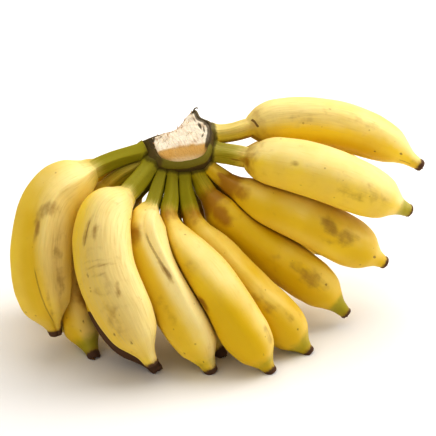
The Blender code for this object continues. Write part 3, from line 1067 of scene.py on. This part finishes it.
def make_banana(name, banana, others, shell, sizes, middle, relief, material):
    """One banana: its pressed and ridged skin, its dried stub, and its colour fields."""
    seed = int(name[-2:])
    ripeness = RIPENESS.get(name, HIDDEN_RIPENESS)
    places = np.linspace(0, banana.length, sizes.rings)
    angles = round_angles(sizes.sides)
    fields = mark_fields(banana, places, angles, all_marks(name, banana, seed))
    reach = skin_reach(banana, ripeness, places, angles, others, fields.pop("fold"))

    centre, along, face, side = banana.frames_at(places)
    down = np.array((0.0, -math.cos(sizes.lean), -math.sin(sizes.lean)))
    sag = TIP_SAG * banana.belly * ramp(*SAG_SHARES, places / banana.length)
    centre = centre + sag[:, None] * down
    ways = spokes(angles, face, side)
    fields["joint"] = near_crown(shell, centre, ways, places, reach)
    reach += JOINT_FLARE * fields["joint"]

    # How far each side faces the light, for the painted highlight.
    light = turned(ways, sizes.lean) @ np.array(PAINTED_HIGHLIGHT_FACING)
    fields = ripe_fields(fields, banana, ripeness, places, reach, light)
    round_and_along = (
        banana.belly * np.cos(angles), banana.belly * np.sin(angles), places[:, None]
    )
    fields["skin"] = MM * np.stack(
        [np.broadcast_to(values, reach.shape) for values in round_and_along], axis=2
    )
    fields["lie"] = np.broadcast_to(turned(along, sizes.lean)[:, None], (*reach.shape, 3))

    # The dried end is sunk a little in its middle, and carries the flower's last threads.
    rows = list(centre[:, None] + ways * reach[:, :, None])
    ends = {field: [values] for field, values in fields.items()}
    for inset, sunk in STUB_END:
        rows.append(centre[-1] + ways[-1] * (reach[-1] * inset)[:, None] - along[-1] * sunk)
        for field, values in fields.items():
            shrunk = np.array((inset, inset, 1.0)) if field == "skin" else 1.0
            ends[field].append(values[-1:] * shrunk)
        ends["strands"][-1] = np.ones((1, sizes.sides))
    fields = {field: np.concatenate(values) for field, values in ends.items()}
    bare = skin_mesh(name, [to_world(row, sizes.lean, middle) for row in rows], fields)
    data = run_tree(bare, relief, {
        "Dent depth": sizes.dent, "Crumple depth": sizes.crumple, **PEEL_RELIEF,
        "Seed": seed, "Material": material,
    })
    bpy.data.meshes.remove(bare)
    keep_in_box(data, below=1.0)
    cut_at_floor(data)
    return finish_piece(name.replace("finger", "banana"), data, name)


def make_threads(name, sources, tree, values):
    """One piece of all the strands that grow on the sources."""
    mesh = bmesh.new()
    for source in sources:
        strands = run_tree(source, tree, values)
        mesh.from_mesh(strands)
        bpy.data.meshes.remove(strands)
    data = bpy.data.meshes.new(name)
    mesh.to_mesh(data)
    mesh.free()
    data.materials.append(values["Material"])
    data.shade_smooth()
    keep_in_box(data)
    finish_piece(name, data)


def new_material(name, roughness, level):
    """A material with its shader's gloss set, its tree and its shader."""
    material = bpy.data.materials.new(name)
    material.use_nodes = True
    shader = material.node_tree.nodes["Principled BSDF"]
    shader.inputs["Roughness"].default_value = roughness
    shader.inputs["Specular IOR Level"].default_value = level
    return material, material.node_tree, shader


def let_light_in(shader, weight, radius):
    """Lets light into soft flesh, as deep in red, green and blue as radius says, in metres."""
    shader.inputs["Subsurface Weight"].default_value = weight
    shader.inputs["Subsurface Radius"].default_value = radius
    shader.inputs["Subsurface Scale"].default_value = 1.0


def read_sources(tree, fields, noises):
    """The mesh's fields and the noises that a material's layers read, by name.

    A noise names where it is read, the size of its grains in millimetres, and its detail.
    """
    sources = {
        name: add(tree, "ShaderNodeAttribute", output="Fac", attribute_name=name) for name in fields
    }
    for name, where, size, detail in noises:
        inputs = {"Vector": where, "Scale": 1000 / size, "Detail": detail}
        sources[name] = add(tree, "ShaderNodeTexNoise", inputs, "Fac")
    return sources


def paint(tree, shader, base, layers, sources):
    """Paints a colour with layers laid over it, and returns how far each one covers it.

    A layer names its field, the noise that frays it and by how much, the sum at which it
    starts and at which it is full, how much it covers then, and its colour.
    """
    laid = (*base, 1.0)
    shares = {}
    for field, grain, fray, low, high, most, tint in layers:
        total = add(
            tree, "ShaderNodeMath", {0: sources[grain], 1: fray, 2: sources[field]},
            operation="MULTIPLY_ADD",
        )
        share = add(
            tree, "ShaderNodeMapRange",
            {"Value": total, "From Min": low, "From Max": high, "To Max": most},
            interpolation_type="SMOOTHSTEP",
        )
        laid = add(tree, "ShaderNodeMix", {"Factor": share, "A": laid, "B": tint}, data_type="RGBA")
        shares[field] = share
    tree.links.new(laid, shader.inputs["Base Color"])
    return shares


def peel_material(colours):
    """Ripe banana peel: a rind that grew smooth, with its own thin wax, over soft flesh.

    The wax gives broad, cream highlights, and the sides that face the light carry a
    painted highlight too. The yellow drifts from butter to gold, deepened by painted
    shade, green is left at both ends, rubs and knocks show brown, and the bend under
    each neck is partly rust and partly painted shade.
    """
    material, tree, shader = new_material("waxy_banana_peel", roughness=0.36, level=0.28)
    place = add(tree, "ShaderNodeTexCoord", output="Object")
    skin = add(tree, "ShaderNodeAttribute", output="Vector", attribute_name="skin")
    # Fibres run the banana's length, ten times as long as they are wide.
    drawn = add(tree, "ShaderNodeVectorMath", {0: skin, 1: (1.0, 1.0, 0.1)}, operation="MULTIPLY")
    sources = read_sources(tree, (
        "pale", "sun", "gold", "green", "tip_green", "rust", "joint",
        "smudge", "scuff", "spot", "crack_side", "crack_here", "stub",
    ), (
        ("clouds", place, 25, 2.0), ("mottle", place, 6, 4.0),
        ("flecks", place, 1.5, 3.0), ("fibres", drawn, 1.2, 3.0),
    ))
    # A crack is a millimetre wide at most and frays a little.
    sideways = add(tree, "ShaderNodeMath", {0: sources["crack_side"]}, operation="ABSOLUTE")
    sideways = add(
        tree, "ShaderNodeMath", {0: sources["flecks"], 1: 1.2, 2: sideways},
        operation="MULTIPLY_ADD",
    )
    line = add(
        tree, "ShaderNodeMapRange", {"Value": sideways, "From Min": 1.9, "From Max": 0.9},
        interpolation_type="SMOOTHSTEP",
    )
    crack = {0: line, 1: sources["crack_here"]}
    sources["crack"] = add(tree, "ShaderNodeMath", crack, operation="MULTIPLY")
    # Freckles are under a millimetre across and about 6 mm apart.
    cells = tree.nodes.new("ShaderNodeTexVoronoi")
    cells.inputs["Scale"].default_value = 1000 / 6
    tree.links.new(place, cells.inputs["Vector"])
    chosen = add(tree, "ShaderNodeSeparateColor", {"Color": cells.outputs["Color"]}, "Red")
    near = add(
        tree, "ShaderNodeMath", {0: cells.outputs["Distance"], 1: -1.0, 2: 1.0},
        operation="MULTIPLY_ADD",
    )
    freckle = {0: chosen, 1: 0.35, 2: near}
    sources["freckle"] = add(tree, "ShaderNodeMath", freckle, operation="MULTIPLY_ADD")

    shares = paint(tree, shader, colours.butter, (
        ("clouds", "mottle", 0.3, 0.55, 0.80, 0.35, colours.gold),
        # The peel's own paleness, with painted highlights from the pale marks.
        ("pale", "clouds", 0.7, 0.45, 1.40, 0.85, colours.cream),
        # A painted highlight in cream, on the sides that face the light.
        ("sun", "mottle", 0.5, 0.45, 1.35, 0.88, colours.cream),
        # The peel's own gold, deepened by painted shade from the deep marks.
        ("gold", "clouds", 0.7, 0.30, 1.25, 1.00, colours.gold),
        ("fibres", "mottle", 0.4, 0.72, 0.95, 0.15, colours.gold),
        ("scuff", "fibres", 1.0, 0.55, 1.60, 0.75, colours.scuff),
        # Partly rust and bruises, partly painted shade under the shoulders.
        ("rust", "mottle", 0.8, 0.50, 1.25, 0.92, colours.rust),
        ("tip_green", "mottle", 0.5, 0.35, 1.00, 0.90, colours.tip),
        ("green", "fibres", 0.5, 0.35, 0.95, 0.95, colours.neck),
        ("smudge", "mottle", 1.6, 0.95, 2.10, 0.75, colours.smudge),
        ("smudge", "fibres", 1.6, 1.20, 2.20, 0.25, colours.spot),
        ("freckle", "flecks", 0.1, 1.24, 1.31, 0.45, colours.smudge),
        ("spot", "flecks", 0.6, 0.65, 1.30, 0.80, colours.spot),
        ("crack", "flecks", 0.2, 0.30, 0.80, 0.90, colours.spot),
        ("joint", "flecks", 0.5, 0.55, 1.20, 0.85, colours.joint),
        ("stub", "flecks", 3.0, -0.80, 2.80, 0.60, colours.smudge),
        ("stub", "flecks", 2.0, 0.60, 2.20, 0.95, colours.stub),
    ), sources)

    # Rubbed and dried peel has lost its wax, and the necks have less than the bellies.
    worn = 0.34
    for field, more in (
        (shares["smudge"], 0.50), (sources["mottle"], 0.10), (shares["stub"], 0.35),
    ):
        worn = add(tree, "ShaderNodeMath", {0: field, 1: more, 2: worn}, operation="MULTIPLY_ADD")
    tree.links.new(worn, shader.inputs["Roughness"])
    wax = add(
        tree, "ShaderNodeMath", {0: shares["green"], 1: -0.2, 2: 0.28}, operation="MULTIPLY_ADD"
    )
    tree.links.new(wax, shader.inputs["Specular IOR Level"])
    shader.inputs["IOR"].default_value = 1.45
    let_light_in(shader, weight=0.12, radius=(0.004, 0.002, 0.0006))
    height = add(
        tree, "ShaderNodeMath", {0: sources["fibres"], 1: 0.6, 2: sources["flecks"]},
        operation="MULTIPLY_ADD",
    )
    height = add(
        tree, "ShaderNodeMath", {0: shares["spot"], 1: -1.5, 2: height}, operation="MULTIPLY_ADD"
    )
    bump = {"Strength": 0.25, "Distance": 0.0003, "Height": height}
    tree.links.new(add(tree, "ShaderNodeBump", bump, "Normal"), shader.inputs["Normal"])
    return material


def flesh_material(colours):
    """The stalk's flesh, torn and then cut with a knife: dry, fibrous and without gloss.

    Torn flesh is cream with brown streaks, and the knife's smooth cut has browned.
    """
    material, tree, shader = new_material("torn_stalk_flesh", roughness=0.75, level=0.3)
    skin = add(tree, "ShaderNodeAttribute", output="Vector", attribute_name="skin")
    lean = add(
        tree, "ShaderNodeMapping", {"Vector": skin, "Rotation": (0.0, 0.0, math.radians(-25))}
    )
    drawn = add(tree, "ShaderNodeVectorMath", {0: lean, 1: (1.0, 0.22, 1.0)}, operation="MULTIPLY")
    # Bundles of fibres are 1.1 mm wide, and lie in blotches of 7 mm.
    sources = read_sources(tree, ("cut", "deep", "pit", "rim"), (
        ("bundles", drawn, 1.1, 3.0), ("blotches", skin, 7, 3.0), ("grain", skin, 0.6, 2.0),
    ))
    paint(tree, shader, colours.flesh, (
        ("bundles", "blotches", 1.2, 0.98, 1.50, 0.55, colours.fibre),
        ("cut", "blotches", 0.9, 0.55, 1.40, 0.85, colours.cut),
        ("deep", "bundles", 0.3, 0.30, 1.30, 0.40, colours.flesh),
        ("rim", "grain", 1.6, -0.10, 1.20, 0.60, colours.fibre),
        ("pit", "blotches", 1.2, 0.70, 1.60, 0.88, colours.pit),
    ), sources)
    let_light_in(shader, weight=0.1, radius=(0.003, 0.002, 0.001))
    height = add(
        tree, "ShaderNodeMath", {0: sources["bundles"], 1: 1.5, 2: sources["grain"]},
        operation="MULTIPLY_ADD",
    )
    bump = {"Strength": 0.6, "Distance": 0.0006, "Height": height}
    tree.links.new(add(tree, "ShaderNodeBump", bump, "Normal"), shader.inputs["Normal"])
    return material


def rind_material(colours):
    """The stalk's rind, which dried where it was cut: leathery and nearly matt.

    A dark line follows the cut, an olive green band lies under it, and the rest is brown.
    """
    material, tree, shader = new_material("dried_stalk_rind", roughness=0.62, level=0.35)
    skin = add(tree, "ShaderNodeAttribute", output="Vector", attribute_name="skin")
    sources = read_sources(tree, ("band", "pit"), (
        ("blotches", skin, 5, 3.0), ("grain", skin, 0.9, 3.0),
    ))
    paint(tree, shader, colours.rind, (
        ("blotches", "grain", 0.6, 0.70, 1.00, 0.50, colours.joint),
        ("band", "blotches", 0.8, 0.60, 1.10, 0.90, colours.band),
        ("pit", "grain", 0.9, 0.75, 1.15, 0.92, colours.pit),
    ), sources)
    bump = {"Strength": 0.5, "Distance": 0.0006, "Height": sources["grain"]}
    tree.links.new(add(tree, "ShaderNodeBump", bump, "Normal"), shader.inputs["Normal"])
    return material


def thread_material(name, low, high):
    """Plant threads that have dried: thin, matt, and darker in places."""
    material, tree, shader = new_material(name, roughness=0.8, level=0.3)
    place = add(tree, "ShaderNodeTexCoord", output="Object")
    # Each thread changes colour over about 1.5 mm.
    sources = read_sources(tree, (), (("shade", place, 1.5, 2.0),))
    paint(tree, shader, low, (("shade", "shade", 0.0, 0.4, 0.6, 1.0, high),), sources)
    return material


def face_rings(outline):
    """The rings of the cut face, from its middle out, and what its flesh is like there."""
    centre = outline.mean(axis=0)
    edge_x, edge_y = np.array(CUT_EDGE).T
    for size in np.linspace(0.03, 1.0, FACE_RINGS):
        level = centre + (outline - centre) * size
        across, up = level.T
        edge = np.linalg.norm(outline - centre, axis=1) * (1 - size)
        below = np.interp(across, edge_x, edge_y) - up
        torn = ramp(0.5, -0.5, below)
        pits = np.zeros(len(outline))
        for pit_x, pit_y, length, width, tilt, strength in PITS:
            away = np.hypot(*patch(across - pit_x, up - pit_y, length, width, tilt))
            pits = np.maximum(pits, strength * ramp(1.5, 0.3, away))
        out = -CUT_FALL * ramp(-0.5, 10.5, below) - 0.5 * (below > 0) * ramp(0, 1.2, below)
        out -= 0.6 * pits + 0.7 * np.exp(-edge / 0.7)
        # The right rim has dried dark, and its fibres have worn off.
        right = ramp(6.5, 11.0, across) * ramp(-9, -4, up)
        pits = np.maximum(pits, ramp(2.6, 1.2, edge) * right)
        strands = torn * (0.12 + 0.7 * np.exp(-edge / 1.5)) * (1 - right)
        yield np.column_stack((level, out)), (
            ramp(-2.0, 2.2, below), ramp(3.0, 10.0, below), pits, -edge, 0.0,
            torn, 0.15 + 0.85 * torn, strands,
        )


def rind_rings(outline):
    """The rings of the rind, from the face's edge back, and what it is like there."""
    for depth, level in crown_levels(outline, RIND_RINGS):
        across, up, _ = level.T
        dried = np.maximum(ramp(5.0, 9.0, across), ramp(-9.0, -13.0, across))
        pits = ramp(2.4, 0.6, depth) * ramp(-9.0, -3.0, up) * dried + 0.9 * ramp(4.6, 7.0, depth)
        band = ramp(6.0, 4.0, depth) * ramp(3.0, -3.0, up + 0.2 * across)
        band *= ramp(-17.0, -3.0, across)
        yield level, (0.0, 0.0, np.clip(pits, 0, 1) * 0.68, depth, band, 0.5, 0.55, 0.0)


def make_crown(sizes, colours, middle, relief, strand):
    """The crown: its torn and cut face, its rind and its torn fibres."""
    outline = crown_outline(CROWN_SIDES)
    rings = [*face_rings(outline), *rind_rings(outline)]
    rows = [row for row, _ in rings]
    fields = {
        name: np.array([np.broadcast_to(values[at], CROWN_SIDES) for _, values in rings])
        for at, name in enumerate(CROWN_FIELDS)
    }
    fields["skin"] = np.array(rows) * MM
    across, up, looks = crown_frame()
    aside, upward, outward = FIBRES_POINT
    lie = turned(outward * looks + aside * across + upward * up, sizes.lean)
    fields["lie"] = np.broadcast_to(lie, (len(rows), CROWN_SIDES, 3))
    bare = skin_mesh("crown", [to_world(on_face(row), sizes.lean, middle) for row in rows], fields)
    flesh = flesh_material(colours)
    data = run_tree(bare, relief, {**CROWN_RELIEF, "Material": flesh})
    data.materials.append(rind_material(colours))

    # The rind starts at the face's edge, but along the torn top the flesh wraps over it.
    edge, last = FACE_RINGS - 1, len(rows) - 1
    belongs = np.zeros(len(data.polygons), dtype=np.int32)
    belongs[edge * CROWN_SIDES:last * CROWN_SIDES] = 1
    belongs[last * CROWN_SIDES + 1::2] = 1
    near_top = np.abs(outline[:, 0] - WRAP_MIDDLE) < WRAP_HALF_WIDTH
    torn_top = np.flatnonzero((outline[:, 1] > 0) & near_top)
    for row in range(edge, edge + WRAP_RINGS):
        belongs[row * CROWN_SIDES + torn_top] = 0
    data.polygons.foreach_set("material_index", belongs)
    keep_in_box(data)
    finish_piece("cut_crown", data, "crown")

    make_threads("torn_fibres", [bare], strand, {
        "Density": sizes.fibres * FOR_SQUARE_METRE, "Length": sizes.fibre_length, **FIBRES,
        "Material": thread_material("torn_stalk_fibres", colours.flesh, colours.fibre),
    })
    bpy.data.meshes.remove(bare)


def make_curl(colours, lean, middle):
    """The dried thread that curls off the torn face's spike."""
    at = np.linspace(0, 1, CURL_RINGS)
    spots = on_face(smooth_curve(CURL_LINE, at))
    radii = smooth_steps(np.linspace(0, 1, len(CURL_RADII)), np.array(CURL_RADII), at)
    forward = unit(np.gradient(spots, axis=0))
    beside = unit(np.cross(forward, crown_frame()[2]))
    ways = spokes(round_angles(CURL_SIDES), beside, CURL_FLATNESS * np.cross(forward, beside))
    rows = spots[:, None] + ways * radii[:, None, None]
    curl = skin_mesh("spike_curl", [to_world(row, lean, middle) for row in rows], {})
    curl.materials.append(thread_material("dried_stalk_curl", colours.pit, colours.rind))
    keep_in_box(curl)
    finish_piece("spike_curl", curl)


def make_floor(stage):
    """A plain pale floor of matt paper."""
    data = bpy.data.meshes.new("floor")
    with edited(data) as mesh:
        bmesh.ops.create_grid(mesh, x_segments=1, y_segments=1, size=FLOOR_HALF_WIDTH)
    floor = bpy.data.objects.new("floor", data)
    bpy.context.scene.collection.objects.link(floor)
    paper, _, shader = new_material("matt_backdrop_paper", roughness=0.9, level=0.1)
    shader.inputs["Base Color"].default_value = (*stage.floor, 1.0)
    data.materials.append(paper)


def make_light(stage):
    """A white room with soft light from above, from the right and from the front."""
    scene = bpy.context.scene
    world = bpy.data.worlds.new("white_room")
    world.use_nodes = True
    room = world.node_tree.nodes["Background"].inputs
    room["Color"].default_value = ROOM_TINT
    room["Strength"].default_value = stage.room
    scene.world = world
    scene.view_settings.view_transform = "Standard"
    scene.view_settings.gamma = stage.contrast
    for name, place, width, power in SOFTBOXES:
        light = bpy.data.lights.new(name, "AREA")
        light.size = width
        light.energy = getattr(stage, power)
        lamp = bpy.data.objects.new(name, light)
        lamp.location = place
        aim = Vector(LIGHTS_AIM) - Vector(place)
        lamp.rotation_euler = aim.to_track_quat("-Z", "Y").to_euler()
        scene.collection.objects.link(lamp)


def make_camera(stage, lean, middle):
    """The camera, which looks straight at the leaning fan as the photograph does."""
    lens = bpy.data.cameras.new("camera")
    lens.sensor_width = 36.0
    half_view = PIXELS / 2 * stage.millimetres_a_pixel * MM
    lens.lens = lens.sensor_width / 2 / (half_view / stage.distance)
    lens.clip_start = 0.05
    camera = bpy.data.objects.new("camera", lens)
    right = Vector((1, 0, 0))
    up = Vector((0, math.sin(lean), math.cos(lean)))
    back = Vector((0, -math.cos(lean), math.sin(lean)))
    aside = right * VIEW_MIDDLE[0] * MM + up * VIEW_MIDDLE[1] * MM
    eye = Vector(middle) + aside + back * stage.distance
    turn = Matrix((right, up, back)).transposed().to_4x4()
    camera.matrix_world = Matrix.Translation(eye) @ turn
    bpy.context.scene.collection.objects.link(camera)
    bpy.context.scene.camera = camera


class BANANA_OT_stage(bpy.types.Operator):
    """Makes the floor, the soft light and the camera."""

    bl_idname = "banana.stage"
    bl_label = "Make stage"

    def execute(self, context):
        stage = context.scene.banana_stage
        lean = context.scene.banana_sizes.lean
        make_floor(stage)
        make_light(stage)
        make_camera(stage, lean, crown_middle(lean))
        return {"FINISHED"}


class BANANA_OT_fingers(bpy.types.Operator):
    """Makes the bananas of both rows, and the dried threads on their tips."""

    bl_idname = "banana.fingers"
    bl_label = "Make bananas"

    def execute(self, context):
        sizes = context.scene.banana_sizes
        colours = context.scene.banana_colours
        shell = crown_shell()
        shared = (shell, sizes, crown_middle(sizes.lean), relief_tree(), peel_material(colours))
        bananas = {name: Banana(shape) for name, shape in {**OUTER_ROW, **INNER_ROW}.items()}
        made = []
        for name, banana in bananas.items():
            others = [other for other in bananas.values() if other is not banana]
            made.append(make_banana(name, banana, others, *shared))
        make_threads("tip_threads", [piece.data for piece in made], strand_tree(), {
            "Density": sizes.threads * FOR_SQUARE_METRE, "Length": sizes.thread_length,
            **THREADS,
            "Material": thread_material("dried_tip_threads", colours.stub, colours.spot),
        })
        return {"FINISHED"}


class BANANA_OT_crown(bpy.types.Operator):
    """Makes the cut crown, its torn fibres and its curl."""

    bl_idname = "banana.crown"
    bl_label = "Make crown"

    def execute(self, context):
        sizes = context.scene.banana_sizes
        colours = context.scene.banana_colours
        middle = crown_middle(sizes.lean)
        make_crown(sizes, colours, middle, relief_tree(), strand_tree())
        make_curl(colours, sizes.lean, middle)
        return {"FINISHED"}


class BANANA_PT_hand(bpy.types.Panel):
    """Lists the steps that make the hand."""

    bl_idname = "BANANA_PT_hand"
    bl_label = "Banana hand"
    bl_space_type = "VIEW_3D"
    bl_region_type = "UI"
    bl_category = "Banana hand"

    def draw(self, context):
        scene = context.scene
        for group in (scene.banana_sizes, scene.banana_colours, scene.banana_stage):
            for name in group.__annotations__:
                self.layout.prop(group, name)
        for step in STEPS:
            self.layout.operator(step.bl_idname)


STEPS = (BANANA_OT_stage, BANANA_OT_fingers, BANANA_OT_crown)
CLASSES = (HandSizes, HandColours, StageSettings, *STEPS, BANANA_PT_hand)


def register():
    for each in CLASSES:
        bpy.utils.register_class(each)
    bpy.types.Scene.banana_sizes = PointerProperty(type=HandSizes)
    bpy.types.Scene.banana_colours = PointerProperty(type=HandColours)
    bpy.types.Scene.banana_stage = PointerProperty(type=StageSettings)


def unregister():
    del bpy.types.Scene.banana_stage
    del bpy.types.Scene.banana_colours
    del bpy.types.Scene.banana_sizes
    for each in reversed(CLASSES):
        bpy.utils.unregister_class(each)


def main():
    """Makes the whole scene."""
    register()
    bpy.ops.banana.stage()
    bpy.ops.banana.fingers()
    bpy.ops.banana.crown()


if __name__ == "__main__":
    main()
